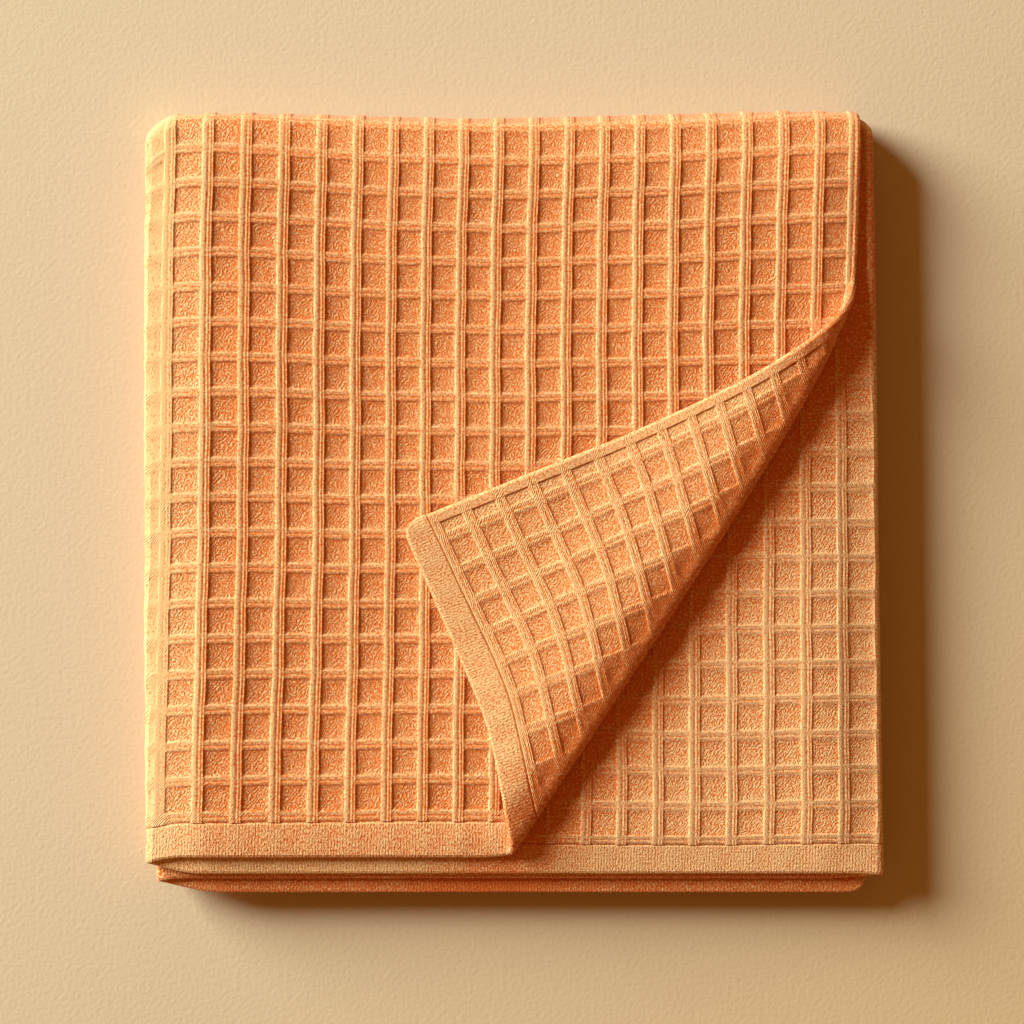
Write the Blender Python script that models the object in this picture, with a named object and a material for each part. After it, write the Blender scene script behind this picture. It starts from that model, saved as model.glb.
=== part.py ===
"""Hair towel of honeycomb cotton, folded to a near square, one corner turned back.

One sheet of cloth, hemmed at its two long ends, is one solid. It is folded back and
forth in four panels along its length, and that pack is folded once more across its
middle, so that eight layers lie on each other and the rounded second fold is the top
edge. Creep round that fold steps the hems along the bottom edge. The corner of the
uppermost layer is rolled back over the towel and shows the cloth's other face.

Metres, +Z up. The origin is at the middle of the footprint, on the surface that the
towel lies on. The top fold is towards +Y and the stepped hems are towards -Y.
"""
import math

import bmesh
import bpy
import numpy as np

# The cloth as it was cut and hemmed
CLOTH_LENGTH = 0.9834
CLOTH_WIDTH = 0.5228
THICKNESS = 0.0022
HEM_WIDTH = 0.0120
STITCH_WIDTH = 0.0013
STITCH_SINK = 0.60

# The stack: eight layers, each a little apart from the next
LAYER_STEP = 0.0028
MIDDLE_HEIGHT = 3.5 * LAYER_STEP + THICKNESS / 2
FOLD_RADIUS = LAYER_STEP / 2
FOLD_LENGTH = math.pi * FOLD_RADIUS

# The second fold, whose layers nest as half ellipses round the line y = TOP_LINE
TOP_LINE = 0.1267
TOP_SQUASH = 0.6
TOP_CORNER_START = 0.115
TOP_CORNER_WIDTH = 0.012
TOP_CORNER_DROP = 0.006
TOP_CORNER_REACH = 0.035

# Side folds and edges at stations down the towel, as x of the outer side of each fold
Y_STATION = (-0.135, -0.102, -0.060, -0.033, 0.028, 0.068, 0.128)
FREE_EDGE = (0.1186, 0.1186, 0.1186, 0.1185, 0.1180, 0.1180, 0.1193)
LEFT_FOLD = (-0.1268, -0.1269, -0.1272, -0.1273, -0.1273, -0.1272, -0.1270)
RIGHT_FOLD = (0.1276, 0.1270, 0.1264, 0.1260, 0.1252, 0.1247, 0.1236)
INNER_FOLD = (-0.1234, -0.1240, -0.1243, -0.1246, -0.1244, -0.1238, -0.1226)
HEM_STRETCH = 0.011
BACK_NARROWING = 0.003

# Each panel: its height from the middle of the stack in layer steps, and the length of
# cloth from the second fold to its front hem
PANEL_HEIGHT = (3.5, 2.5, 1.5, 0.5)
PANEL_FRONT = (0.26095, 0.26327, 0.26154, 0.26310)
PANEL_EASE = 0.016

# The top edge isn't quite straight
TOP_X = (-0.130, -0.108, -0.068, -0.012, 0.043, 0.119, 0.130)
TOP_RISE = (0.0006, 0.0018, 0.0013, 0.0000, 0.0011, 0.0023, 0.0018)

# The stack thins towards its sides and swells a little between them. Each swell is the
# product of two waves. Columns: radians a metre along x and y and where the first wave
# starts, the same for the second wave, and the swell's share of SWELL.
SIDE_LIMIT = 0.127
TOP_LIMIT = 0.134
HEM_LIMIT = 0.134
SHOULDER = 0.022
SHOULDER_DROP = 0.13
SWELL = 0.022
SWELL_WAVES = (
    (38.0, 17.0, 0.6, -9.0, 33.0, 1.97, 1.0),
    (71.0, -24.0, 2.1, 14.0, 52.0, 0.0, 0.6),
)

# The turned-back corner. The line of its crease starts at CREASE_START and runs at
# CREASE_ANGLE. Across the crease the cloth lifts, turns round a narrow roll, climbs back
# in a wide curve, falls and settles.
CREASE_START = (0.1152, 0.0696)
CREASE_ANGLE = math.radians(236.4)
CREASE_REACH = 0.0080
CREASE_TAPER = 0.035
CORNER_OFFSET = 0.0231
CORNER_SHRINK = 0.037
CORNER_SHRINK_HASTE = 1.3
CORNER_STILL = -0.060
LIFT_ANGLE = math.radians(5)
LIFT_RADIUS = 0.070
BACK_SLOPE = math.radians(20)
BACK_RADIUS = 0.038
FALL_ANGLE = math.radians(6)
SETTLE_RADIUS = 0.035
ROLL_RADIUS_START = 0.0030
ROLL_RADIUS = 0.0018
PROFILE_STEPS = 400

# How finely the sheet is divided
PANEL_PIECES = (9, 8, 4, 4)
PANEL_END_SHARES = (0.014, 0.034, 0.062)
FOLD_PIECES = 6
TOP_PIECES = 10
FRONT_PIECES = 10
BACK_PIECES = 5
GRID_ROUNDS = 3

# Cuts along the crease, so that the roll is round. Columns: distance of the first cut
# from the crease line, step to the next, number of cuts.
CREASE_CUTS = ((-0.0200, 0.0060, 3), (-0.0040, 0.0012, 15), (0.0160, 0.0050, 8))
CUT_CLEARANCE = 0.00001

# The finish
COTTON_COLOUR = (0.86, 0.36, 0.14, 1.0)
COTTON_ROUGHNESS = 0.95
SHARP_ANGLE = math.radians(40)


def smoothstep(t):
    """0 to 1 with level ends."""
    t = np.clip(t, 0.0, 1.0)
    return t * t * (3.0 - 2.0 * t)


def curve_through(stations, values, where):
    """A smooth curve through the values at a few stations, level past its ends."""
    stations = np.asarray(stations, float)
    values = np.asarray(values, float)
    slopes = np.gradient(values, stations)
    k = np.clip(np.searchsorted(stations, where) - 1, 0, len(stations) - 2)
    span = stations[k + 1] - stations[k]
    t = np.clip((where - stations[k]) / span, 0.0, 1.0)
    start = (1 + 2 * t) * (1 - t) ** 2 * values[k] + t * (1 - t) ** 2 * span * slopes[k]
    end = t * t * (3 - 2 * t) * values[k + 1] - t * t * (1 - t) * span * slopes[k + 1]
    return start + end


def fold_stations(y):
    """x of each panel's two ends, and the length of cloth at which each begins and ends."""
    outer = FOLD_RADIUS + THICKNESS / 2
    right_edge = curve_through(Y_STATION, FREE_EDGE, y)
    left = curve_through(Y_STATION, LEFT_FOLD, y) + outer
    right = curve_through(Y_STATION, RIGHT_FOLD, y) - outer
    inner = curve_through(Y_STATION, INNER_FOLD, y) + outer
    first = right_edge - left
    second = first + FOLD_LENGTH + right - left
    third = second + FOLD_LENGTH + right - inner
    return right_edge, left, right, inner, first, second, third


def hem_stretch(y):
    """The cloth is pulled a little longer towards the hems than at the top fold."""
    return 1.0 + HEM_STRETCH * smoothstep((TOP_LINE - y) / (TOP_LINE + HEM_LIMIT))


def panel_values(u):
    """Front length and half length of the second fold for a place along the cloth."""
    half_turn = top_half_length(np.array(PANEL_HEIGHT) * LAYER_STEP)
    middle = fold_stations(0.0)[4:]
    front = np.full_like(u, PANEL_FRONT[0])
    half = np.full_like(u, half_turn[0])
    for k in range(len(PANEL_HEIGHT) - 1):
        centre = middle[k] + FOLD_LENGTH / 2
        share = smoothstep((u - centre) / (2 * PANEL_EASE) + 0.5)
        front += share * (PANEL_FRONT[k + 1] - PANEL_FRONT[k])
        half += share * (half_turn[k + 1] - half_turn[k])
    return front, half


def quarter_ellipse():
    """Angle against arc length along a quarter of an ellipse of height 1."""
    angle = np.linspace(0.0, math.pi / 2, PROFILE_STEPS)
    middle = (angle[1:] + angle[:-1]) / 2
    step = np.hypot(TOP_SQUASH * np.sin(middle), np.cos(middle)) * np.diff(angle)
    return angle, np.concatenate([[0.0], np.cumsum(step)])


QUARTER_ANGLE, QUARTER_LENGTH = quarter_ellipse()


def top_half_length(height):
    """Cloth in half of the second fold, for a layer at this height from the middle."""
    return QUARTER_LENGTH[-1] * height


def pleat(u, offset, y):
    """x and height of the back-and-forth fold at a length u along the cloth."""
    right_edge, left, right, inner, first, second, third = fold_stations(y)
    path = u * hem_stretch(y)
    start = [np.zeros_like(path), first, first + FOLD_LENGTH, second,
             second + FOLD_LENGTH, third, third + FOLD_LENGTH]
    origin = (right_edge, left, left, right, right, inner, inner)
    x = np.zeros_like(path)
    height = np.zeros_like(path)
    for k in range(len(start)):
        inside = path >= start[k]
        run = path - start[k]
        heading = -1.0 if k % 4 < 2 else 1.0
        if k % 2 == 0:
            level = PANEL_HEIGHT[k // 2] * LAYER_STEP
            upward = 1.0 if k % 4 == 0 else -1.0
            x = np.where(inside, origin[k] + heading * run, x)
            height = np.where(inside, level + upward * offset, height)
        else:
            level = (PANEL_HEIGHT[k // 2] - 0.5) * LAYER_STEP
            turn = run / FOLD_RADIUS
            side = 1.0 if k % 4 == 1 else -1.0
            radius = FOLD_RADIUS + side * offset
            x = np.where(inside, origin[k] - side * radius * np.sin(turn), x)
            height = np.where(inside, level + radius * np.cos(turn), height)
    return x, height, path < first


def roll_profile(radius):
    """The curve of the turned corner across its crease, from flat to flat again.

    Columns: length of cloth, distance across, rise, and the direction of the cloth. It
    comes to rest one layer step above the layer that it leaves.
    """
    rise = (LIFT_RADIUS * (1 - math.cos(LIFT_ANGLE))
            + radius * (math.cos(LIFT_ANGLE) + math.cos(BACK_SLOPE))
            + BACK_RADIUS * (1 - math.cos(BACK_SLOPE)))
    curved_fall = (BACK_RADIUS + SETTLE_RADIUS) * (1 - math.cos(FALL_ANGLE))
    fall = (rise - curved_fall - LAYER_STEP) / math.sin(FALL_ANGLE)
    back = math.pi - BACK_SLOPE
    over = math.pi + FALL_ANGLE
    stretches = (
        (0.0, LIFT_ANGLE, LIFT_RADIUS * LIFT_ANGLE),
        (LIFT_ANGLE, back, radius * (back - LIFT_ANGLE)),
        (back, over, BACK_RADIUS * (over - back)),
        (over, over, fall),
        (over, math.pi, SETTLE_RADIUS * FALL_ANGLE),
    )
    rows = [(0.0, 0.0, 0.0)]
    for heading_in, heading_out, length in stretches:
        step = length / PROFILE_STEPS
        for k in range(PROFILE_STEPS):
            heading = heading_in + (heading_out - heading_in) * (k + 0.5) / PROFILE_STEPS
            ahead = heading_in + (heading_out - heading_in) * (k + 1) / PROFILE_STEPS
            across, up, _ = rows[-1]
            rows.append((across + step * math.cos(heading), up + step * math.sin(heading),
                         ahead))
    across, up, heading = np.array(rows).T
    run = np.concatenate([[0.0], np.cumsum(np.hypot(np.diff(across), np.diff(up)))])
    return np.stack([run, across, up, heading], 1)


WIDE_ROLL = roll_profile(ROLL_RADIUS_START)
NARROW_ROLL = roll_profile(ROLL_RADIUS)


def turn_corner(x, y, offset):
    """Roll the corner of the upper layer back: plan place, rise and whether it is moved."""
    along = np.array((math.cos(CREASE_ANGLE), math.sin(CREASE_ANGLE)))
    across = np.array((-along[1], along[0]))
    from_x = x - CREASE_START[0]
    from_y = y - CREASE_START[1]
    a = from_x * along[0] + from_y * along[1]
    q = from_x * across[0] + from_y * across[1]

    taper = np.exp(-np.maximum(a, -CREASE_TAPER) / CREASE_TAPER)
    wide = np.clip(taper, 0.0, 1.0)
    reach = (wide * WIDE_ROLL[:, 1].max() + (1 - wide) * NARROW_ROLL[:, 1].max())
    length = wide * WIDE_ROLL[-1, 0] + (1 - wide) * NARROW_ROLL[-1, 0]
    span = wide * WIDE_ROLL[-1, 1] + (1 - wide) * NARROW_ROLL[-1, 1]
    lift_line = CREASE_REACH * (1 - taper) - reach
    take_up = CORNER_OFFSET - (2 * lift_line + length + span)
    s = q - lift_line
    moved = s > 0
    full = length + take_up
    progress = np.clip(s / full, 0.0, 1.0)
    cloth = np.clip(s, 0.0, full) - take_up * smoothstep(progress)
    share = np.clip(cloth / length, 0.0, 1.0)

    columns = []
    for column in (1, 2, 3):
        wide_value = np.interp(share * WIDE_ROLL[-1, 0], WIDE_ROLL[:, 0], WIDE_ROLL[:, column])
        narrow_value = np.interp(share * NARROW_ROLL[-1, 0], NARROW_ROLL[:, 0],
                                 NARROW_ROLL[:, column])
        columns.append(wide * wide_value + (1 - wide) * narrow_value)
    out, rise, heading = columns
    beyond = np.maximum(s - full, 0.0)
    q_new = lift_line + out - beyond - offset * np.sin(heading)
    a_new = a - CORNER_SHRINK * (a - CORNER_STILL) * smoothstep(CORNER_SHRINK_HASTE * share)
    x_new = CREASE_START[0] + a_new * along[0] + q_new * across[0]
    y_new = CREASE_START[1] + a_new * along[1] + q_new * across[1]
    return x_new, y_new, rise, offset * np.cos(heading), moved


def stack_scale(x, y):
    """Height of the stack as a share: thinner shoulders, and long low swells."""
    side = smoothstep((np.abs(x) - SIDE_LIMIT + SHOULDER) / SHOULDER)
    top = smoothstep((y - TOP_LIMIT + SHOULDER) / SHOULDER)
    hem = smoothstep((-y - HEM_LIMIT + SHOULDER) / SHOULDER)
    inner = (1 - side) * (1 - top) * (1 - hem)
    swells = 0.0
    for along_x, along_y, start, second_x, second_y, second_start, share in SWELL_WAVES:
        first = np.sin(along_x * x + along_y * y + start)
        second = np.sin(second_x * x + second_y * y + second_start)
        swells = swells + share * first * second
    return 1.0 - SHOULDER_DROP * (1 - inner) + SWELL * inner * swells


def place(u, d, offset):
    """The folded place of a point of the cloth.

    u is its length along the cloth, d its distance from the second fold, positive on the
    upper side, and offset its distance from the middle of the cloth's thickness.
    """
    u = np.asarray(u, float)
    d = np.asarray(d, float)
    front, half = panel_values(u)
    past = np.maximum(np.abs(d) - half, 0.0)
    y = TOP_LINE - past
    x, height, upper_panel = pleat(u, offset, y)

    turn_share = np.clip(np.abs(d) / half, 0.0, 1.0)
    turn = np.interp(turn_share * QUARTER_LENGTH[-1], QUARTER_LENGTH, QUARTER_ANGLE)
    turn = turn * np.sign(d)
    x = x * (1.0 - BACK_NARROWING * (1.0 - np.sin(turn)))
    rise = curve_through(TOP_X, TOP_RISE, x)
    rise = rise * smoothstep(y / TOP_LINE)
    corner = np.maximum(np.abs(x) - TOP_CORNER_START, 0.0) / TOP_CORNER_WIDTH
    drop = TOP_CORNER_DROP * corner ** 2 * smoothstep(1 - (TOP_LINE - y) / TOP_CORNER_REACH)
    y = y + rise - drop + TOP_SQUASH * height * np.cos(turn)
    z = (MIDDLE_HEIGHT + height * np.sin(turn)) * stack_scale(x, y)

    flat_upper = upper_panel & (d > half)
    plan_y = y - TOP_SQUASH * height * np.cos(turn)
    x_new, y_new, lift, thick, moved = turn_corner(x, plan_y, offset)
    scale = stack_scale(x_new, y_new)
    top_layer = MIDDLE_HEIGHT + PANEL_HEIGHT[0] * LAYER_STEP
    z_new = top_layer * scale + lift + thick * scale
    turned = flat_upper & moved
    return (np.where(turned, x_new, x), np.where(turned, y_new, y), np.where(turned, z_new, z))


def length_lines():
    """Lines across the cloth as (panel or fold number, share of it)."""
    lines = []
    last = len(PANEL_PIECES) - 1
    for panel in range(last + 1):
        count = PANEL_PIECES[panel]
        shares = [k / count for k in range(1, count)]
        shares += list(PANEL_END_SHARES) + [1 - share for share in PANEL_END_SHARES]
        lines += [(2 * panel, 0.0)] + [(2 * panel, share) for share in sorted(shares)]
        if panel < last:
            lines += [(2 * panel + 1, k / FOLD_PIECES) for k in range(FOLD_PIECES)]
    return lines + [(2 * last, 1.0)]


def width_lines():
    """Lines along the cloth, hem to hem, as (stretch, value)."""
    stitch = (HEM_WIDTH - STITCH_WIDTH, HEM_WIDTH, HEM_WIDTH + STITCH_WIDTH)
    front = [("front hem", 0.0)] + [("front hem", v) for v in stitch]
    front += [("front", 1 - k / FRONT_PIECES) for k in range(1, FRONT_PIECES)]
    top = [("top", 1 - 2 * k / TOP_PIECES) for k in range(TOP_PIECES + 1)]
    back = [("back", k / BACK_PIECES) for k in range(1, BACK_PIECES)]
    back += [("back hem", v) for v in reversed(stitch)] + [("back hem", 0.0)]
    return front + top + back


def width_distance(line, front, half):
    """Distance from the second fold of a line along the cloth."""
    stretch, value = line
    back = CLOTH_WIDTH - front
    hem = HEM_WIDTH + STITCH_WIDTH
    if stretch == "front hem":
        return front - value
    if stretch == "front":
        return half + value * (front - hem - half)
    if stretch == "top":
        return value * half
    if stretch == "back":
        return -half - value * (back - hem - half)
    return -(back - value)


def grid_point(length_line, width_line):
    """Cloth coordinates (u, d) where two lines of the grid cross."""
    part, share = length_line
    u = 0.0
    y = 0.0
    for _ in range(GRID_ROUNDS):
        stretch = hem_stretch(y)
        first, second, third = fold_stations(y)[4:]
        bounds = (0.0, first, first + FOLD_LENGTH, second, second + FOLD_LENGTH, third,
                  third + FOLD_LENGTH, CLOTH_LENGTH * stretch)
        u = (bounds[part] + share * (bounds[part + 1] - bounds[part])) / stretch
        front, half = panel_values(np.array([u]))
        d = width_distance(width_line, front[0], half[0])
        y = TOP_LINE - max(abs(d) - half[0], 0.0)
    return u, d


def flat_sheet():
    """The cloth spread out, cut along lines that follow the crease of its corner."""
    sheet = bmesh.new()
    columns = length_lines()
    rows = width_lines()
    grid = [[sheet.verts.new((*grid_point(c, r), 0.0)) for r in rows] for c in columns]
    for i in range(len(columns) - 1):
        for j in range(len(rows) - 1):
            sheet.faces.new((grid[i][j], grid[i + 1][j], grid[i + 1][j + 1], grid[i][j + 1]))

    front, half = panel_values(np.array([0.0]))
    first = fold_stations(0.0)[4]
    across = (-math.sin(CREASE_ANGLE), math.cos(CREASE_ANGLE))
    start_u = FREE_EDGE[0] - CREASE_START[0]
    start_d = half[0] + TOP_LINE - CREASE_START[1]
    for begin, step, count in CREASE_CUTS:
        for k in range(count):
            q = begin + k * step
            upper = [f for f in sheet.faces
                     if all(v.co.x < first - PANEL_EASE and v.co.y > half[0] - CUT_CLEARANCE
                            for v in f.verts)]
            edges = {e for f in upper for e in f.edges}
            verts = {v for f in upper for v in f.verts}
            point = (start_u - q * across[0], start_d - q * across[1], 0.0)
            bmesh.ops.bisect_plane(sheet, geom=list(verts) + list(edges) + upper,
                                   dist=CUT_CLEARANCE, plane_co=point,
                                   plane_no=(-across[0], -across[1], 0.0))
    bmesh.ops.triangulate(sheet, faces=sheet.faces[:])
    sheet.verts.index_update()
    return sheet


def half_thickness(u, d):
    """Half of the cloth's thickness, less in the row of stitches at each hem."""
    front, half = panel_values(u)
    to_hem = np.minimum(front - d, CLOTH_WIDTH - front + d)
    stitched = np.abs(to_hem - HEM_WIDTH) < STITCH_WIDTH / 2
    return THICKNESS / 2 * np.where(stitched, STITCH_SINK, 1.0)


def cloth_material():
    """Cotton in a light coral orange."""
    material = bpy.data.materials.new("coral cotton")
    material.use_nodes = True
    shader = material.node_tree.nodes["Principled BSDF"]
    shader.inputs["Base Color"].default_value = COTTON_COLOUR
    shader.inputs["Roughness"].default_value = COTTON_ROUGHNESS
    shader.inputs["Metallic"].default_value = 0.0
    return material


def make_towel():
    """Fold the sheet, give it its thickness and close it round its rim."""
    sheet = flat_sheet()
    u = np.array([v.co.x for v in sheet.verts])
    d = np.array([v.co.y for v in sheet.verts])
    half = half_thickness(u, d)
    upper = np.stack(place(u, d, half), 1)
    lower = np.stack(place(u, d, -half), 1)
    count = len(u)
    points = np.concatenate([upper, lower])
    faces = []
    for face in sheet.faces:
        ring = [v.index for v in face.verts]
        faces.append(ring[::-1])
        faces.append([k + count for k in ring])
    for edge in sheet.edges:
        if edge.is_boundary:
            loop = edge.link_loops[0]
            a, b = loop.vert.index, loop.link_loop_next.vert.index
            faces.append([a, b, b + count])
            faces.append([a, b + count, a + count])
    sheet.free()

    mesh = bpy.data.meshes.new("towel")
    mesh.from_pydata([tuple(p) for p in points], [], faces)
    mesh.validate()
    mesh.shade_smooth()
    mesh.set_sharp_from_angle(angle=SHARP_ANGLE)
    mesh.materials.append(cloth_material())
    towel = bpy.data.objects.new("towel", mesh)
    bpy.context.scene.collection.objects.link(towel)
    return towel


def main():
    for thing in list(bpy.data.objects):
        bpy.data.objects.remove(thing, do_unlink=True)
    make_towel()


main()
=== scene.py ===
import math

import bpy
import numpy as np
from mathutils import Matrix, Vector


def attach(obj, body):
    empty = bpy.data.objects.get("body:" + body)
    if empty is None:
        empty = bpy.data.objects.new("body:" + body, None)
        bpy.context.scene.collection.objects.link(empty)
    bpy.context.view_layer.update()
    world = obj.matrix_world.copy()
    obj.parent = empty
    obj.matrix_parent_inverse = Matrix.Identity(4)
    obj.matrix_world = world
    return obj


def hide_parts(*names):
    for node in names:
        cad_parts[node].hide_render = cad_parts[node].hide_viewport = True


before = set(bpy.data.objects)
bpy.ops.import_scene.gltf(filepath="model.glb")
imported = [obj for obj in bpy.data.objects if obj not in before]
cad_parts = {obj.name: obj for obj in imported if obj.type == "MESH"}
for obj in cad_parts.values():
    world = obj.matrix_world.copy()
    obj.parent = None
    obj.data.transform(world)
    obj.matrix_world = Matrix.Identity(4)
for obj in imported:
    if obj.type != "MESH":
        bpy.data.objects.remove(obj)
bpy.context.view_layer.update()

# Camera
# The towel is seen from straight above, square to the surface that it lies on. The
# camera stands 1.2 m over the top layer, and the picture takes in 351 mm of it.
TOP_LAYER_Z = 0.022
VIEW_HEIGHT = 1.2
VIEW_WIDTH = 0.3510
VIEW_CENTRE = (-0.0007, -0.0031)
SENSOR = 36.0

camera = bpy.data.objects.new("camera", bpy.data.cameras.new("camera"))
camera.data.sensor_width = SENSOR
camera.data.lens = SENSOR * VIEW_HEIGHT / VIEW_WIDTH
camera.location = (*VIEW_CENTRE, TOP_LAYER_Z + VIEW_HEIGHT)
bpy.context.scene.collection.objects.link(camera)
bpy.context.scene.camera = camera

# Towel
# One length of honeycomb weave cotton, 0.98 by 0.52 m, woven so that square pits lie
# between ribs of cords on both faces. Both long sides are turned in and sewn down as a
# plain band. It is folded in four, then in half, with one corner rolled back.
CLOTH_LENGTH = 0.9834
CLOTH_WIDTH = 0.5228
LAYER_STEP = 0.0028
CAD_THICKNESS = 0.0022
MIDDLE_HEIGHT = 3.5 * LAYER_STEP + CAD_THICKNESS / 2
FOLD_RADIUS = LAYER_STEP / 2
FOLD_LENGTH = math.pi * FOLD_RADIUS

# The second fold: its line in plan, how flat it is, and how its two ends drop back.
TOP_LINE = 0.1267
TOP_SQUASH = 0.6
TOP_CORNER_START = 0.115
TOP_CORNER_WIDTH = 0.012
TOP_CORNER_DROP = 0.006
TOP_CORNER_REACH = 0.035

# The free edge and the side folds in plan, at places from the hems to the top.
Y_STATION = (-0.135, -0.102, -0.060, -0.033, 0.028, 0.068, 0.128)
FREE_EDGE = (0.1186, 0.1186, 0.1186, 0.1185, 0.1180, 0.1180, 0.1193)
LEFT_FOLD = (-0.1268, -0.1269, -0.1272, -0.1273, -0.1273, -0.1272, -0.1270)
RIGHT_FOLD = (0.1276, 0.1270, 0.1264, 0.1260, 0.1252, 0.1247, 0.1236)
INNER_FOLD = (-0.1234, -0.1240, -0.1243, -0.1246, -0.1244, -0.1238, -0.1226)
HEM_STRETCH = 0.011
BACK_NARROWING = 0.003

# The four panels: height in the stack, in layers, and length from hem to second fold.
PANEL_HEIGHT = (3.5, 2.5, 1.5, 0.5)
PANEL_FRONT = (0.26095, 0.26327, 0.26154, 0.26310)
PANEL_EASE = 0.016

# How far the second fold strays from a straight line.
TOP_X = (-0.130, -0.108, -0.068, -0.012, 0.043, 0.119, 0.130)
TOP_RISE = (0.0006, 0.0018, 0.0013, 0.0000, 0.0011, 0.0023, 0.0018)

# The stack's height: thinner shoulders, a loftier left side and long low swells. A swell
# is two waves multiplied: how fast each runs along x and y, its start, then its share.
SIDE_LIMIT = 0.127
TOP_LIMIT = 0.134
HEM_LIMIT = 0.134
SHOULDER = 0.022
SHOULDER_DROP = 0.13
LEFT_LOFT = 0.07
LOFT_START = -0.108
LOFT_RUN = 0.062
LOFT_HEM_SHARE = 0.55
SWELL = 0.022
SWELL_WAVES = (
    (38.0, 17.0, 0.6, -9.0, 33.0, 1.97, 1.0),
    (71.0, -24.0, 2.1, 14.0, 52.0, 0.0, 0.6),
)

# The turned corner: where its crease starts and heads, where the cloth lands, and the
# curves that it passes through from the lift to where it settles.
CREASE_START = (0.1152, 0.0696)
CREASE_ANGLE = math.radians(236.4)
CREASE_REACH = 0.0080
CREASE_TAPER = 0.035
CORNER_OFFSET = 0.0231
CORNER_SHRINK = 0.037
CORNER_SHRINK_HASTE = 1.3
CORNER_STILL = -0.060
LIFT_ANGLE = math.radians(5)
LIFT_RADIUS = 0.070
BACK_SLOPE = math.radians(20)
BACK_RADIUS = 0.038
FALL_ANGLE = math.radians(6)
SETTLE_RADIUS = 0.035
ROLL_RADIUS_START = 0.0030
ROLL_RADIUS = 0.0018
PROFILE_STEPS = 400


def smoothstep(t):
    """0 to 1 with level ends."""
    t = np.clip(t, 0.0, 1.0)
    return t * t * (3.0 - 2.0 * t)


def curve_through(stations, values, where):
    """A smooth curve through the values at a few stations, level past its ends."""
    stations = np.asarray(stations, float)
    values = np.asarray(values, float)
    slopes = np.gradient(values, stations)
    k = np.clip(np.searchsorted(stations, where) - 1, 0, len(stations) - 2)
    span = stations[k + 1] - stations[k]
    t = np.clip((where - stations[k]) / span, 0.0, 1.0)
    start = (1 + 2 * t) * (1 - t) ** 2 * values[k] + t * (1 - t) ** 2 * span * slopes[k]
    end = t * t * (3 - 2 * t) * values[k + 1] - t * t * (1 - t) * span * slopes[k + 1]
    return start + end


def fold_stations(y):
    """x of each panel's two ends, and the length of cloth at which each begins and ends."""
    outer = FOLD_RADIUS + CAD_THICKNESS / 2
    right_edge = curve_through(Y_STATION, FREE_EDGE, y)
    left = curve_through(Y_STATION, LEFT_FOLD, y) + outer
    right = curve_through(Y_STATION, RIGHT_FOLD, y) - outer
    inner = curve_through(Y_STATION, INNER_FOLD, y) + outer
    first = right_edge - left
    second = first + FOLD_LENGTH + right - left
    third = second + FOLD_LENGTH + right - inner
    return right_edge, left, right, inner, first, second, third


def hem_stretch(y):
    """The cloth is pulled a little longer towards the hems than at the top fold."""
    return 1.0 + HEM_STRETCH * smoothstep((TOP_LINE - y) / (TOP_LINE + HEM_LIMIT))


def quarter_ellipse():
    """Angle against arc length along a quarter of an ellipse of height 1."""
    angle = np.linspace(0.0, math.pi / 2, PROFILE_STEPS)
    middle = (angle[1:] + angle[:-1]) / 2
    step = np.hypot(TOP_SQUASH * np.sin(middle), np.cos(middle)) * np.diff(angle)
    return angle, np.concatenate([[0.0], np.cumsum(step)])


QUARTER_ANGLE, QUARTER_LENGTH = quarter_ellipse()
HALF_TURN = QUARTER_LENGTH[-1] * LAYER_STEP * np.array(PANEL_HEIGHT)


def panel_values(u):
    """Front length and half length of the second fold for a place along the cloth."""
    middle = fold_stations(0.0)[4:]
    front = np.full_like(u, PANEL_FRONT[0])
    half = np.full_like(u, HALF_TURN[0])
    for k in range(3):
        centre = middle[k] + FOLD_LENGTH / 2
        share = smoothstep((u - centre) / (2 * PANEL_EASE) + 0.5)
        front += share * (PANEL_FRONT[k + 1] - PANEL_FRONT[k])
        half += share * (HALF_TURN[k + 1] - HALF_TURN[k])
    return front, half


def pleat(u, offset, y):
    """x and height of the back-and-forth fold, and the number of the stretch u lies in."""
    right_edge, left, right, inner, first, second, third = fold_stations(y)
    path = u * hem_stretch(y)
    start = (np.zeros_like(path), first, first + FOLD_LENGTH, second,
             second + FOLD_LENGTH, third, third + FOLD_LENGTH)
    origin = (right_edge, left, left, right, right, inner, inner)
    x = np.zeros_like(path)
    height = np.zeros_like(path)
    stretch = np.zeros(path.shape, int)
    for k in range(7):
        inside = path >= start[k]
        run = path - start[k]
        stretch = np.where(inside, k, stretch)
        if k % 2 == 0:
            heading = -1.0 if k % 4 == 0 else 1.0
            level = PANEL_HEIGHT[k // 2] * LAYER_STEP
            x = np.where(inside, origin[k] + heading * run, x)
            height = np.where(inside, level - heading * offset, height)
        else:
            level = (PANEL_HEIGHT[k // 2] - 0.5) * LAYER_STEP
            turn = run / FOLD_RADIUS
            side = 1.0 if k % 4 == 1 else -1.0
            radius = FOLD_RADIUS + side * offset
            x = np.where(inside, origin[k] - side * radius * np.sin(turn), x)
            height = np.where(inside, level + radius * np.cos(turn), height)
    return x, height, stretch


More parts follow.
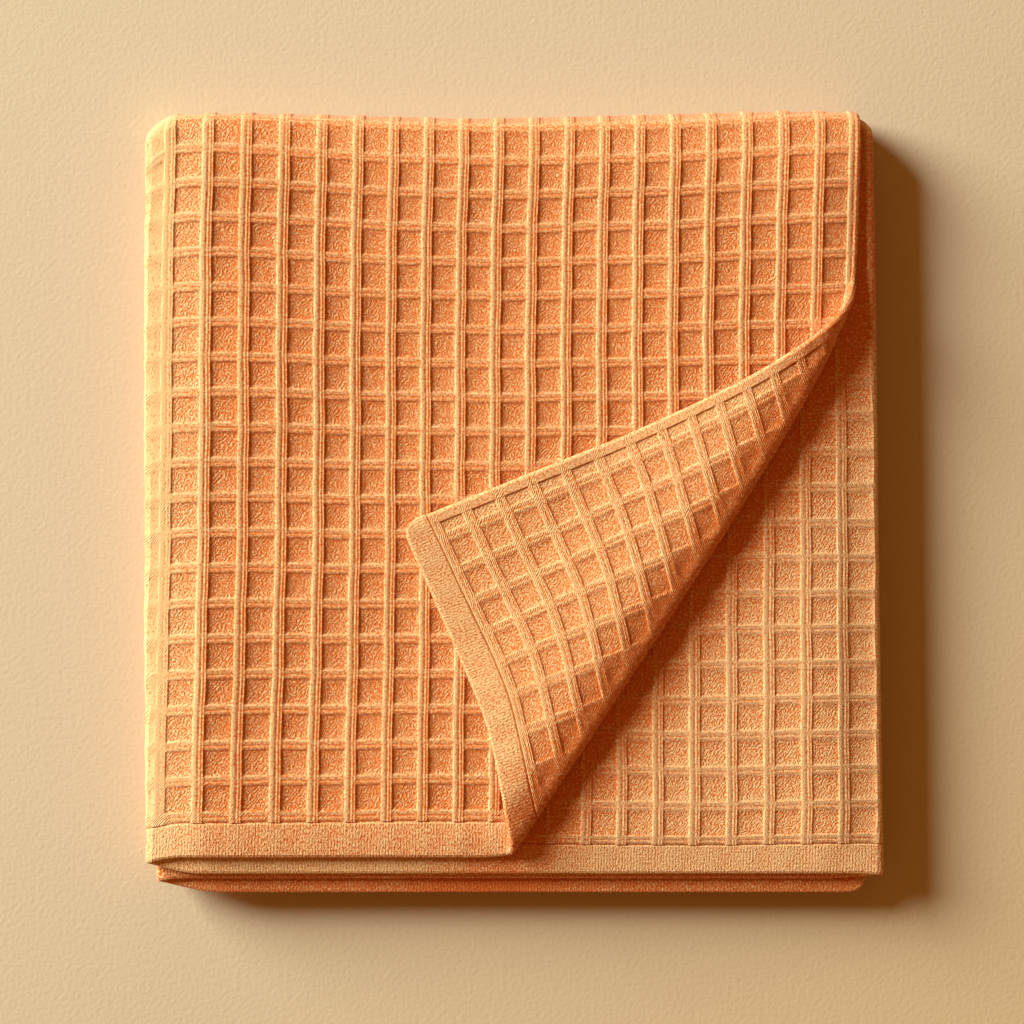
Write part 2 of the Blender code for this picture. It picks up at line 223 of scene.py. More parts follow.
def roll_profile(radius):
    """The turned corner across its crease: length, distance across, rise, direction."""
    rise = (LIFT_RADIUS * (1 - math.cos(LIFT_ANGLE))
            + radius * (math.cos(LIFT_ANGLE) + math.cos(BACK_SLOPE))
            + BACK_RADIUS * (1 - math.cos(BACK_SLOPE)))
    curved_fall = (BACK_RADIUS + SETTLE_RADIUS) * (1 - math.cos(FALL_ANGLE))
    fall = (rise - curved_fall - LAYER_STEP) / math.sin(FALL_ANGLE)
    back = math.pi - BACK_SLOPE
    over = math.pi + FALL_ANGLE
    stretches = (
        (0.0, LIFT_ANGLE, LIFT_RADIUS * LIFT_ANGLE),
        (LIFT_ANGLE, back, radius * (back - LIFT_ANGLE)),
        (back, over, BACK_RADIUS * (over - back)),
        (over, over, fall),
        (over, math.pi, SETTLE_RADIUS * FALL_ANGLE),
    )
    rows = [(0.0, 0.0, 0.0)]
    for heading_in, heading_out, length in stretches:
        step = length / PROFILE_STEPS
        for k in range(PROFILE_STEPS):
            heading = heading_in + (heading_out - heading_in) * (k + 0.5) / PROFILE_STEPS
            ahead = heading_in + (heading_out - heading_in) * (k + 1) / PROFILE_STEPS
            across, up, _ = rows[-1]
            rows.append((across + step * math.cos(heading), up + step * math.sin(heading),
                         ahead))
    across, up, heading = np.array(rows).T
    run = np.concatenate([[0.0], np.cumsum(np.hypot(np.diff(across), np.diff(up)))])
    return np.stack([run, across, up, heading], 1)


WIDE_ROLL = roll_profile(ROLL_RADIUS_START)
NARROW_ROLL = roll_profile(ROLL_RADIUS)
ALONG = np.array((math.cos(CREASE_ANGLE), math.sin(CREASE_ANGLE)))
ACROSS = np.array((-ALONG[1], ALONG[0]))


def crease_place(x, y):
    """A plan place as distances along and across the crease."""
    from_x = x - CREASE_START[0]
    from_y = y - CREASE_START[1]
    return from_x * ALONG[0] + from_y * ALONG[1], from_x * ACROSS[0] + from_y * ACROSS[1]


def turn_corner(x, y, offset):
    """Roll the corner back: plan place, rise, thickness upwards, distance past the lift."""
    a, q = crease_place(x, y)
    taper = np.exp(-np.maximum(a, -CREASE_TAPER) / CREASE_TAPER)
    wide = np.clip(taper, 0.0, 1.0)
    reach = (wide * WIDE_ROLL[:, 1].max() + (1 - wide) * NARROW_ROLL[:, 1].max())
    length = wide * WIDE_ROLL[-1, 0] + (1 - wide) * NARROW_ROLL[-1, 0]
    span = wide * WIDE_ROLL[-1, 1] + (1 - wide) * NARROW_ROLL[-1, 1]
    lift_line = CREASE_REACH * (1 - taper) - reach
    take_up = CORNER_OFFSET - (2 * lift_line + length + span)
    s = q - lift_line
    full = length + take_up
    progress = np.clip(s / full, 0.0, 1.0)
    cloth = np.clip(s, 0.0, full) - take_up * smoothstep(progress)
    share = np.clip(cloth / length, 0.0, 1.0)

    columns = []
    for column in (1, 2, 3):
        wide_value = np.interp(share * WIDE_ROLL[-1, 0], WIDE_ROLL[:, 0], WIDE_ROLL[:, column])
        narrow_value = np.interp(share * NARROW_ROLL[-1, 0], NARROW_ROLL[:, 0],
                                 NARROW_ROLL[:, column])
        columns.append(wide * wide_value + (1 - wide) * narrow_value)
    out, rise, heading = columns
    beyond = np.maximum(s - full, 0.0)
    q_new = lift_line + out - beyond - offset * np.sin(heading)
    a_new = a - CORNER_SHRINK * (a - CORNER_STILL) * smoothstep(CORNER_SHRINK_HASTE * share)
    x_new = CREASE_START[0] + a_new * ALONG[0] + q_new * ACROSS[0]
    y_new = CREASE_START[1] + a_new * ALONG[1] + q_new * ACROSS[1]
    return x_new, y_new, rise, offset * np.cos(heading), s


def stack_scale(x, y):
    """Height of the stack as a share: thinner shoulders, a loftier left side, low swells."""
    side = smoothstep((np.abs(x) - SIDE_LIMIT + SHOULDER) / SHOULDER)
    top = smoothstep((y - TOP_LIMIT + SHOULDER) / SHOULDER)
    hem = smoothstep((-y - HEM_LIMIT + SHOULDER) / SHOULDER)
    inner = (1 - side) * (1 - top) * (1 - hem)
    swells = 0.0
    for along_x, along_y, start, second_x, second_y, second_start, share in SWELL_WAVES:
        first = np.sin(along_x * x + along_y * y + start)
        second = np.sin(second_x * x + second_y * y + second_start)
        swells = swells + share * first * second
    loft = LEFT_LOFT * (1 - smoothstep((x - LOFT_START) / LOFT_RUN))
    loft = loft * (LOFT_HEM_SHARE + (1 - LOFT_HEM_SHARE) * smoothstep((y + HEM_LIMIT) / TOP_LIMIT))
    return 1.0 - SHOULDER_DROP * (1 - inner) + SWELL * inner * swells + loft


def place(u, d, offset):
    """The folded place of a point of the cloth, and where it lies in the fold.

    u is its length along the cloth, d its distance from the second fold, positive on the
    upper side, and offset its distance from the middle of the cloth's thickness. The
    stretch of the fold and the distance past the crease's lift line come with it.
    """
    front, half = panel_values(u)
    past = np.maximum(np.abs(d) - half, 0.0)
    y = TOP_LINE - past
    x, height, stretch = pleat(u, offset, y)

    turn_share = np.clip(np.abs(d) / half, 0.0, 1.0)
    turn = np.interp(turn_share * QUARTER_LENGTH[-1], QUARTER_LENGTH, QUARTER_ANGLE)
    turn = turn * np.sign(d)
    x = x * (1.0 - BACK_NARROWING * (1.0 - np.sin(turn)))
    rise = curve_through(TOP_X, TOP_RISE, x) * smoothstep(y / TOP_LINE)
    corner = np.maximum(np.abs(x) - TOP_CORNER_START, 0.0) / TOP_CORNER_WIDTH
    drop = TOP_CORNER_DROP * corner ** 2 * smoothstep(1 - (TOP_LINE - y) / TOP_CORNER_REACH)
    plan_y = y + rise - drop
    y = plan_y + TOP_SQUASH * height * np.cos(turn)
    z = (MIDDLE_HEIGHT + height * np.sin(turn)) * stack_scale(x, y)

    x_new, y_new, lift, thick, past_lift = turn_corner(x, plan_y, offset)
    scale = stack_scale(x_new, y_new)
    z_new = (MIDDLE_HEIGHT + PANEL_HEIGHT[0] * LAYER_STEP) * scale + lift + thick * scale
    flat_upper = (stretch == 0) & (d > half)
    turned = flat_upper & (past_lift > 0)
    past_lift = np.where(flat_upper, past_lift, -1.0)
    spot = (np.where(turned, x_new, x), np.where(turned, y_new, y), np.where(turned, z_new, z))
    return np.stack(spot, -1), stretch, past_lift


# The weave. One rib has four cords, two and two, and the rib that crosses it a broad cord
# and a narrow one. Square pits lie between, on both faces. Each table holds places across
# a rib, and for each its height as a share of the height over the pit's edge, and how
# pale the yarn is there: that last row is painted light on the side of the rib towards
# the lamp and painted shade in the grooves and on the side away from it.
CELL_U = 0.01242
CELL_V = 0.01207
FRONT_RIB_U = 0.0021
BACK_RIB_U = 0.0096
RIB_V = 0.01398
FOUR_CORDS = (
    (-0.00205, -0.00155, -0.0011, -0.00055, 0.0, 0.0006, 0.00115, 0.0017, 0.00215),
    (0.0, 0.86, 0.64, 0.90, 0.54, 0.93, 1.0, 0.92, 0.0),
    (0.10, 0.35, 0.00, 0.60, 0.00, 0.70, 0.80, 0.90, 0.60),
)
TWO_CORDS = (
    (-0.0020, -0.0013, -0.0006, -0.0001, 0.0005, 0.0014, 0.0021),
    (0.0, 0.60, 0.70, 0.40, 0.68, 0.74, 0.0),
    (0.05, 0.30, 0.45, 0.00, 0.45, 0.65, 0.50),
)
# Pit floors: paler in the middle, deeper towards the rim as a painted shade in the recess.
PIT_PALENESS = 0.20
PIT_RIM_SHADED_PALENESS = 0.0
PLAIN_PALENESS = 0.55
RIB_TOP = 0.00130
DEEP_PIT = 0.00060
SHALLOW_PIT = 0.00080
PIT_BOWL = 0.00027
BOWL_RUN = 0.00185
PIT_LINE = 0.0040

# Painted light and shade, laid on as paler or deeper yarn in parts of the folded towel:
# painted light on the back and on the turned corner, a painted highlight towards the left
# fold and on the folds, painted shade in the last two panels and near the crease, and
# painted light and shade following the hem's small waves.
BACK_PAINTED_LIGHT = 0.30
CORNER_PAINTED_LIGHT = 0.15
FOLD_PAINTED_HIGHLIGHT = 0.25
LEFT_PAINTED_HIGHLIGHT = 0.5
LEFT_RUN = 0.028
LOWER_SHADE = (0.28, 0.42)
LOWER_HASTE = 10
HEM_WAVE_PAINTED_LIGHT = 0.16
CREASE_SHADE = 0.70
CREASE_SHADE_RUN = (0.017, 0.030)

# The back's pits are shallower than the front's. Pits are pulled flatter where the cloth
# turns: a little over the top fold, more round the left fold, and wholly at the crease.
BACK_DEPTH = 0.70
TOP_FOLD_DEPTH = 0.9
SIDE_FOLD_DEPTH = (0.35, 0.8, 0.8)
TOP_EASE = 0.004
SIDE_EASE = 0.009
CREASE_SMOOTH = 0.0045
CREASE_LIP = 0.0012
CREASE_FADE = 0.004
ROLL_CREST = 0.0090

# The hem, turned in and sewn, and the bound short edge: half thickness at distances from
# the edge, then the plain band beside the short edge.
SEAM = 0.01195
HEM_AT = (0.0, 0.00035, 0.0010, 0.0060, 0.0112, 0.01195)
HEM_HALF = (0.00045, 0.0009, 0.0012, 0.00115, 0.0011, 0.0004)
HEM_WAVE = 0.00012
HEM_WAVE_EASE = (0.004, 0.003)
EDGE_AT = (0.0, 0.0004, 0.0011)
EDGE_HALF = (0.0005, 0.0010, 0.0013)
BACK_BAND = 0.0038
BAND_WALL = 0.0003

# How far the yarns have drifted from an even grid, in millimetres along the cloth and
# across it, at places along it: beside the hem, midway and at the top fold. The rows are
# thinned and rounded from a least-squares fit to the rib crossings seen in the photo.
DRIFT_PLACES = (0.0, 0.06, 0.12, 0.195, 0.22, 0.245, 0.36, 0.42, 0.49, 0.53)
DRIFT_HEIGHTS = (0.0, 0.13, 0.26)
DRIFT_UNIT = 0.001
DRIFT_ALONG = (
    (1.0, -2.25, -2.25, -2.25, -0.75, 0.25, -1.5, -3.25, -1.5, 0.0),
    (0.25, -1.25, -2.25, -4.25, -3.0, -1.25, -0.25, 0.25, 1.0, 0.0),
    (-1.0, -0.5, -2.0, -3.25, -2.0, -0.75, 0.5, 1.5, 1.0, 0.0),
)
DRIFT_ACROSS = (
    (-3.75, -1.0, 1.0, 0.5, 0.0, 0.0, -1.75, -3.0, -1.75, 0.0),
    (-0.25, 0.0, -0.25, 0.5, 1.0, 0.75, -0.75, -2.0, -1.5, 0.0),
    (-2.5, -5.0, -5.0, -3.5, -2.25, -1.5, -0.75, -0.5, -0.5, 0.0),
)

# Small waves of the yarns: height, length, slant and start of each. Towards the edges of
# the cloth the yarns run true.
WAVES_ALONG = ((0.00012, 0.043, 9.0, 0.0), (0.00006, 0.0172, 61.0, 1.3))
WAVES_ACROSS = ((0.00012, 0.051, 8.0, 0.8), (0.00006, 0.0191, 57.0, 2.2))
EDGE_HOLD = 0.020

# The free corners are a little rounded.
CORNER_RADIUS = 0.006

# The mesh has its lines at the cords and the pits' edges where the weave shows, evenly
# where the cloth curves, and hardly any inside the stack. Lines lie on whole units, so
# that neighbours share them.
LINE_UNIT = 1e-7
FOLD_LINES = (0.0036, 0.0049)
CURVE_LINES = 8
BAND_LINES = 4
SHOW_EASE = 0.010
SHARP_ANGLE = math.radians(20)

# How far each kind of detail reaches: under the turned corner, along its crease, past its
# lift line, over its roll, and at the side folds.
COVER_MARGIN = 0.016
CREASE_MARGIN = 0.012
BEFORE_START = 0.055
START_RUN = 0.035
LIFT_MARGIN = 0.004
FINE_LIFT = 0.030
PLAIN_LIFT = 0.070
HEM_LIFT = (0.060, 0.045)
ROLL_LENGTH = 0.0150
ROLL_MARGIN = 0.005
FOLD_MARGIN = 0.001
LEFT_FOLD_LIMIT = 0.30
INNER_FOLD_LIMIT = 0.60


def mirrored(table):
    """A rib's table with its two sides changed over."""
    places, *shares = table
    return [tuple(-p for p in reversed(places))] + [tuple(reversed(s)) for s in shares]


def rib_tables(front_face, turned):
    """The ribs across and along the cloth, as the face shows them."""
    if front_face:
        return FOUR_CORDS, TWO_CORDS
    if turned:
        return mirrored(TWO_CORDS), mirrored(FOUR_CORDS)
    return mirrored(FOUR_CORDS), TWO_CORDS


def tile_lines(start, end, kind, rib, side=""):
    """Places of the mesh lines inside one tile of the weave, in line units.

    kind is fine, fold, plain, curved, roll, band or bare. side marks a tile that ends at
    the short edge of the cloth: low or high.
    """
    span = end - start
    after = [p for p in rib[0] if 0 < p < span / 2]
    before = [span + p for p in rib[0] if -span / 2 < p < 0]
    if side == "low":
        found = [e for e in EDGE_AT + (BACK_BAND, BACK_BAND + BAND_WALL)
                 if e <= EDGE_AT[-1] or e < min(before)]
        found += [b for b in before if b > EDGE_AT[-1] + LINE_UNIT]
    elif side == "high":
        found = [span - e for e in EDGE_AT if e < span]
        found += [p for p in rib[0] if 0 < p < span - EDGE_AT[-1] - LINE_UNIT]
    elif kind == "fine":
        found = after + before + [PIT_LINE, span - PIT_LINE]
    elif kind == "fold":
        found = after + before + [span / 2]
        found += list(FOLD_LINES) + [span - f for f in FOLD_LINES]
    elif kind == "plain":
        found = [rib[0][-1], span + rib[0][0]]
    elif kind in ("curved", "roll"):
        found = [span * k / CURVE_LINES for k in range(CURVE_LINES)]
    elif kind == "band":
        found = [span * k / BAND_LINES for k in range(BAND_LINES)]
    else:
        found = []
    lines = {round((start + f) / LINE_UNIT) for f in found}
    return sorted(lines | {round(start / LINE_UNIT), round(end / LINE_UNIT)})


def front_shows(u, past_lift):
    """1 where the front is the face that shows, 0 where the back does."""
    first, _, third = fold_stations(0.0)[4:]
    shows = 1 - smoothstep((u - first - FOLD_LENGTH) / SHOW_EASE)
    shows = shows + smoothstep((u - third + SHOW_EASE) / SHOW_EASE)
    return shows * (1 - smoothstep(past_lift / SHOW_EASE))


def pit_depth(u, v, front_face):
    """Share of a pit's full depth that is left at a place: less where the cloth turns."""
    spot, _, past_lift = cloth_point(u, v, 0.0)
    path = u * hem_stretch(spot[..., 1])
    depth = np.ones(u.shape)
    for fold_start, left_over in zip(fold_stations(spot[..., 1])[4:], SIDE_FOLD_DEPTH):
        away = np.abs(path - fold_start - FOLD_LENGTH / 2) - FOLD_LENGTH / 2
        depth = depth * (1 - (1 - left_over) * (1 - smoothstep(away / SIDE_EASE)))
    front, half = panel_values(u)
    at_top = 1 - smoothstep((np.abs(front - v) - half) / TOP_EASE)
    depth = depth * (1 - (1 - TOP_FOLD_DEPTH) * at_top)
    if front_face:
        return depth

    to_crease, past_lift = from_crease(u, v)
    fade = smoothstep((to_crease - CREASE_LIP) / CREASE_FADE)
    fade = fade * smoothstep((past_lift - ROLL_CREST) / CREASE_FADE)
    return depth * BACK_DEPTH * np.where(past_lift > 0, fade, 1.0)


def from_crease(u, v):
    """Distances of a place from the crease's outline, in plan, and past the lift line."""
    spot, _, past_lift = cloth_point(u, v, 0.0)
    a, q = crease_place(spot[..., 0], spot[..., 1])
    outline = CREASE_REACH * (1 - np.exp(-np.maximum(a, -CREASE_TAPER) / CREASE_TAPER))
    return outline - q, past_lift


def by_crease(u, v, margin):
    """True for a place of the turned corner on its roll, or nearer than a margin to it."""
    to_crease, past_lift = from_crease(u, v)
    beside = (to_crease < CREASE_SMOOTH + margin) | (past_lift < ROLL_LENGTH + margin)
    return (past_lift > 0) & beside


def rib_share(u, v, front_face, turned):
    """Ribs at a place: height, 0 in the pits, paleness, and how far into a pit it lies."""
    rib_u = FRONT_RIB_U if front_face else BACK_RIB_U
    last = math.floor((CLOTH_LENGTH - rib_u) / CELL_U)
    from_rib_u = u - rib_u - np.clip(np.round((u - rib_u) / CELL_U), 0, last) * CELL_U
    from_rib_v = (v - RIB_V + CELL_V / 2) % CELL_V - CELL_V / 2
    (places_u, heights_u, pale_u), (places_v, heights_v, pale_v) = rib_tables(front_face, turned)
    across = np.interp(from_rib_u, places_u, heights_u)
    along = np.interp(from_rib_v, places_v, heights_v)
    share = 1 - (1 - across) * (1 - along) if turned else np.maximum(across, along)
    # Paleness from the rib tables: painted light on the lamp's side, painted shade in the grooves.
    pale = np.where(across >= along, np.interp(from_rib_u, places_u, pale_u),
                    np.interp(from_rib_v, places_v, pale_v))
    edge = places_u[-1] if front_face else -places_u[0]
    inward = np.clip((np.abs(from_rib_u) - edge) / BOWL_RUN, 0, 1)
    inward = inward * np.clip((np.abs(from_rib_v) - edge) / BOWL_RUN, 0, 1)
    # A pit's floor deepens towards its rim: painted shade.
    floor = PIT_RIM_SHADED_PALENESS + (PIT_PALENESS - PIT_RIM_SHADED_PALENESS) * inward
    return share, np.where(share > 0, pale, floor), inward


def painted_light_and_shade(u, v, front_face, depth):
    """Painted light and shade for where a place lies in the folded towel, as paleness."""
    quarters = u * 4 / CLOTH_LENGTH
    # Painted shade on the last two panels, low in the stack.
    change = -LOWER_SHADE[0] * smoothstep((quarters - 2) * LOWER_HASTE)
    change = change - LOWER_SHADE[1] * smoothstep((quarters - 3) * LOWER_HASTE)
    if front_face:
        # Painted highlight towards the left fold and on the folds.
        to_left = np.abs(fold_stations(0.0)[4] - u)
        change = change + LEFT_PAINTED_HIGHLIGHT * (1 - smoothstep(to_left / LEFT_RUN))
        return change + FOLD_PAINTED_HIGHLIGHT * (1 - depth)
    to_crease, past_lift = from_crease(u, v)
    # Painted light on the back and on the turned corner, and painted shade near the crease.
    on_corner = past_lift > 0
    run = np.where(on_corner, *CREASE_SHADE_RUN)
    change = change + np.where(on_corner, CORNER_PAINTED_LIGHT, BACK_PAINTED_LIGHT)
    return change - CREASE_SHADE * (1 - smoothstep(np.abs(to_crease) / run))


def relief(u, v, front_face, shows, turned):
    """One face: distance from the middle of the cloth, height of its ribs, paleness."""
    flat = rib_share(u, v, front_face, False)
    over = rib_share(u, v, front_face, True)
    share, pale, inward = [np.where(turned, o, f) for o, f in zip(over, flat)]
    to_side = np.minimum(u, CLOTH_LENGTH - u)
    if not front_face:
        band = np.interp(to_side, (BACK_BAND, BACK_BAND + BAND_WALL), (1.0, 0.0))
        share = np.maximum(share, band)
        pale = np.where(band > 0, PLAIN_PALENESS, pale)
    depth = pit_depth(u, v, front_face)
    foot = SHALLOW_PIT + (DEEP_PIT - SHALLOW_PIT) * shows
    height = RIB_TOP - ((RIB_TOP - foot) * (1 - share) + PIT_BOWL * inward * shows) * depth

    bound = np.interp(to_side, EDGE_AT, EDGE_HALF)
    at_edge = to_side < EDGE_AT[-1] + LINE_UNIT
    height = np.where(at_edge, bound, height)
    share = np.where(at_edge, 1.0, 1 - (1 - share) * depth)
    pale = PLAIN_PALENESS + (pale - PLAIN_PALENESS) * depth

    to_hem = np.minimum(v, CLOTH_WIDTH - v)
    wave = HEM_WAVE * np.cos(2 * math.pi * (u - FRONT_RIB_U) / CELL_U)
    from_edge, from_seam = HEM_WAVE_EASE
    wave = wave * smoothstep(to_hem / from_edge) * smoothstep((SEAM - to_hem) / from_seam)
    hem = np.interp(to_hem, HEM_AT, HEM_HALF) + wave
    hem = np.minimum(hem, np.interp(to_side, EDGE_AT, EDGE_HALF))
    on_hem = to_hem <= SEAM + LINE_UNIT
    # Painted light and shade on the hem's small waves: paler on their crests, deeper between.
    hem_pale = PLAIN_PALENESS + wave / HEM_WAVE * HEM_WAVE_PAINTED_LIGHT
    pale = np.where(on_hem, hem_pale, pale) + painted_light_and_shade(u, v, front_face, depth)
    return np.where(on_hem, hem, height), np.where(on_hem, 1.0, share), pale


def table_weights(places, where):
    """How much each place of a table counts at a distance, one row a place."""
    return np.array([curve_through(places, row, where) for row in np.eye(len(places))])


def handmade(u, v):
    """Drifts of the yarns, as shifts along and across the cloth: long ones and small ones."""
    along = table_weights(DRIFT_PLACES, u)
    across = table_weights(DRIFT_HEIGHTS, v)
    shift_u = np.einsum("ji,i...,j...->...", DRIFT_ALONG, along, across) * DRIFT_UNIT
    shift_v = np.einsum("ji,i...,j...->...", DRIFT_ACROSS, along, across) * DRIFT_UNIT
    for height, length, slant, start in WAVES_ALONG:
        shift_u += height * np.sin(2 * math.pi * v / length + slant * u + start)
    for height, length, slant, start in WAVES_ACROSS:
        shift_v += height * np.sin(2 * math.pi * u / length + slant * v + start)
    return shift_u, shift_v


def cloth_point(u, v, offset):
    """The folded place of a point given by its distances from the cloth's two edges."""
    shift_u, shift_v = handmade(u, v)
    to_end = np.clip(1 - np.minimum(u, CLOTH_LENGTH - u) / CORNER_RADIUS, 0, 1)
    to_hem = np.clip(1 - np.minimum(v, CLOTH_WIDTH - v) / CORNER_RADIUS, 0, 1)
    in_u = CORNER_RADIUS * to_end * (1 - np.sqrt(1 - to_hem ** 2 / 2))
    in_v = CORNER_RADIUS * to_hem * (1 - np.sqrt(1 - to_end ** 2 / 2))
    along = u + shift_u * smoothstep(u / EDGE_HOLD) + np.sign(CLOTH_LENGTH / 2 - u) * in_u
    hold = smoothstep(np.minimum(v, CLOTH_WIDTH - v) / EDGE_HOLD)
    front, _ = panel_values(along)
    across = v + shift_v * hold + np.sign(CLOTH_WIDTH / 2 - v) * in_v
    return place(along, front - across, offset)


def hidden_by_corner(x, y):
    """True where the turned corner lies well over this place of the top layer."""
    a, q = crease_place(x, y)
    a_flat = (a - CORNER_SHRINK * CORNER_STILL) / (1 - CORNER_SHRINK)
    q_flat = CORNER_OFFSET - q
    x_flat = CREASE_START[0] + a_flat * ALONG[0] + q_flat * ACROSS[0]
    y_flat = CREASE_START[1] + a_flat * ALONG[1] + q_flat * ACROSS[1]
    hem_y = TOP_LINE - (PANEL_FRONT[0] - HALF_TURN[0])
    inside = (FREE_EDGE[0] - x_flat > COVER_MARGIN) & (y_flat - hem_y > COVER_MARGIN)
    return inside & (q < -CREASE_MARGIN)


def tile_kinds(columns, rows, front_face):
    """What detail each tile of one face needs along and across, from where it lies."""
    middle_u = (columns[1:] + columns[:-1]) / 2
    middle_v = (rows[1:] + rows[:-1]) / 2
    u, v = np.meshgrid(middle_u, middle_v, indexing="ij")
    spot, stretch, past_lift = cloth_point(u, v, 0.0)
    x, y = spot[..., 0], spot[..., 1]
    _, first_end, _ = cloth_point(u - CELL_U / 2 - FOLD_MARGIN, v, 0.0)
    _, last_end, _ = cloth_point(u + CELL_U / 2 + FOLD_MARGIN, v, 0.0)
    at_fold = (first_end != last_end) | (stretch % 2 == 1)
    front, half = panel_values(u)
    d = front - v
    upper = d > -half - CELL_V
    at_top = np.abs(d) < half + CELL_V / 2
    panel = stretch // 2
    a, q = crease_place(x, y)

    kinds = np.full(u.shape, "bare", dtype=object)
    turned = past_lift > 0
    at_hem = np.minimum(v, CLOTH_WIDTH - v) < SEAM
    if front_face:
        near_start = turned & (a < START_RUN)
        fine = (panel == 0) & upper & ~turned & ~hidden_by_corner(x, y)
        fine |= near_start & (past_lift < FINE_LIFT)
        plain = (panel == 0) & (~upper | (turned & (past_lift < PLAIN_LIFT)))
        shown_fold = at_fold & (u < LEFT_FOLD_LIMIT)
        plain_fold = at_fold & (u > INNER_FOLD_LIMIT)
        rolled = at_hem & (past_lift > -CELL_U) & (past_lift < HEM_LIFT[0])
        beside_roll = np.zeros(u.shape, bool)
    else:
        fine = (panel == 0) & (past_lift > LIFT_MARGIN)
        fine |= (panel == 1) & (d > half) & (q > -LIFT_MARGIN) & (a > -BEFORE_START)
        plain = (panel == 0) & (past_lift > -FINE_LIFT)
        shown_fold = at_fold & (u > LEFT_FOLD_LIMIT) & (u < INNER_FOLD_LIMIT)
        plain_fold = np.zeros(u.shape, bool)
        rolled = at_hem & (past_lift > -CELL_U) & (past_lift < HEM_LIFT[1])
        rolled |= by_crease(u, v, 0.0)
        beside_roll = by_crease(u, v, ROLL_MARGIN) & ~rolled
    kinds[plain] = "plain"
    kinds[fine] = "fine"
    kinds[rolled] = "roll"
    kinds[beside_roll] = "fold"
    kinds_u = kinds.copy()
    kinds_v = kinds.copy()
    kinds_u[at_fold] = "fold"
    kinds_v[shown_fold & upper] = "fine"
    kinds_v[(shown_fold & ~upper) | plain_fold] = "plain"
    kinds_v[at_top & (kinds_v == "bare")] = "curved"
    kinds_v[at_top & (kinds_v == "plain")] = "fine"
    return kinds_u, kinds_v, turned


def face_tiles(front_face):
    """All tiles of one face of the cloth as (lines along, lines across)."""
    first = FRONT_RIB_U if front_face else BACK_RIB_U
    columns = np.arange(first, CLOTH_LENGTH - EDGE_AT[-1] - LINE_UNIT, CELL_U)
    columns = np.concatenate([[0.0], columns, [CLOTH_LENGTH]])
    rows = np.arange(RIB_V, CLOTH_WIDTH - SEAM - EDGE_AT[-1], CELL_V)
    rows = np.concatenate([[0.0, SEAM], rows, [CLOTH_WIDTH - SEAM, CLOTH_WIDTH]])
    kinds_u, kinds_v, turned = tile_kinds(columns, rows, front_face)
    last_column = len(columns) - 2
    last_row = len(rows) - 2
    tiles = {}
    for i in range(last_column + 1):
        side = "low" if i == 0 else "high" if i == last_column else ""
        for j in range(last_row + 1):
            kind_u, kind_v = kinds_u[i, j], kinds_v[i, j]
            across_rib, along_rib = rib_tables(front_face, turned[i, j])
            if j in (0, last_row) and kind_u not in ("fold", "roll"):
                kind_u = "band"
            across = tile_lines(rows[j], rows[j + 1], kind_v, along_rib)
            if j in (0, last_row):
                places = list(HEM_AT)
                if kind_v == "roll":
                    places += [SEAM * k / CURVE_LINES for k in range(CURVE_LINES)]
                places = places if j == 0 else [CLOTH_WIDTH - h for h in places]
                across = sorted({round(p / LINE_UNIT) for p in places})
            elif j in (1, last_row - 1):
                if j == 1:
                    inner = [rows[2] + p for p in along_rib[0] if SEAM - RIB_V < p < 0]
                else:
                    inner = [rows[j] + p for p in along_rib[0] if 0 < p < rows[j + 1] - rows[j]]
                places = [rows[j], rows[j + 1]] + inner * (kind_v != "bare")
                across = sorted({round(p / LINE_UNIT) for p in places})
            along = tile_lines(columns[i], columns[i + 1], kind_u, across_rib, side)
            tiles[i, j] = (along, across)
    return tiles


def shared_lines(tiles):
    """Line places on each border between two tiles, so that both sides use them all."""
    level, upright = {}, {}
    for (i, j), (along, across) in tiles.items():
        for key in ((i, j), (i, j + 1)):
            level.setdefault(key, set()).update(along)
        for key in ((i, j), (i + 1, j)):
            upright.setdefault(key, set()).update(across)
    return level, upright


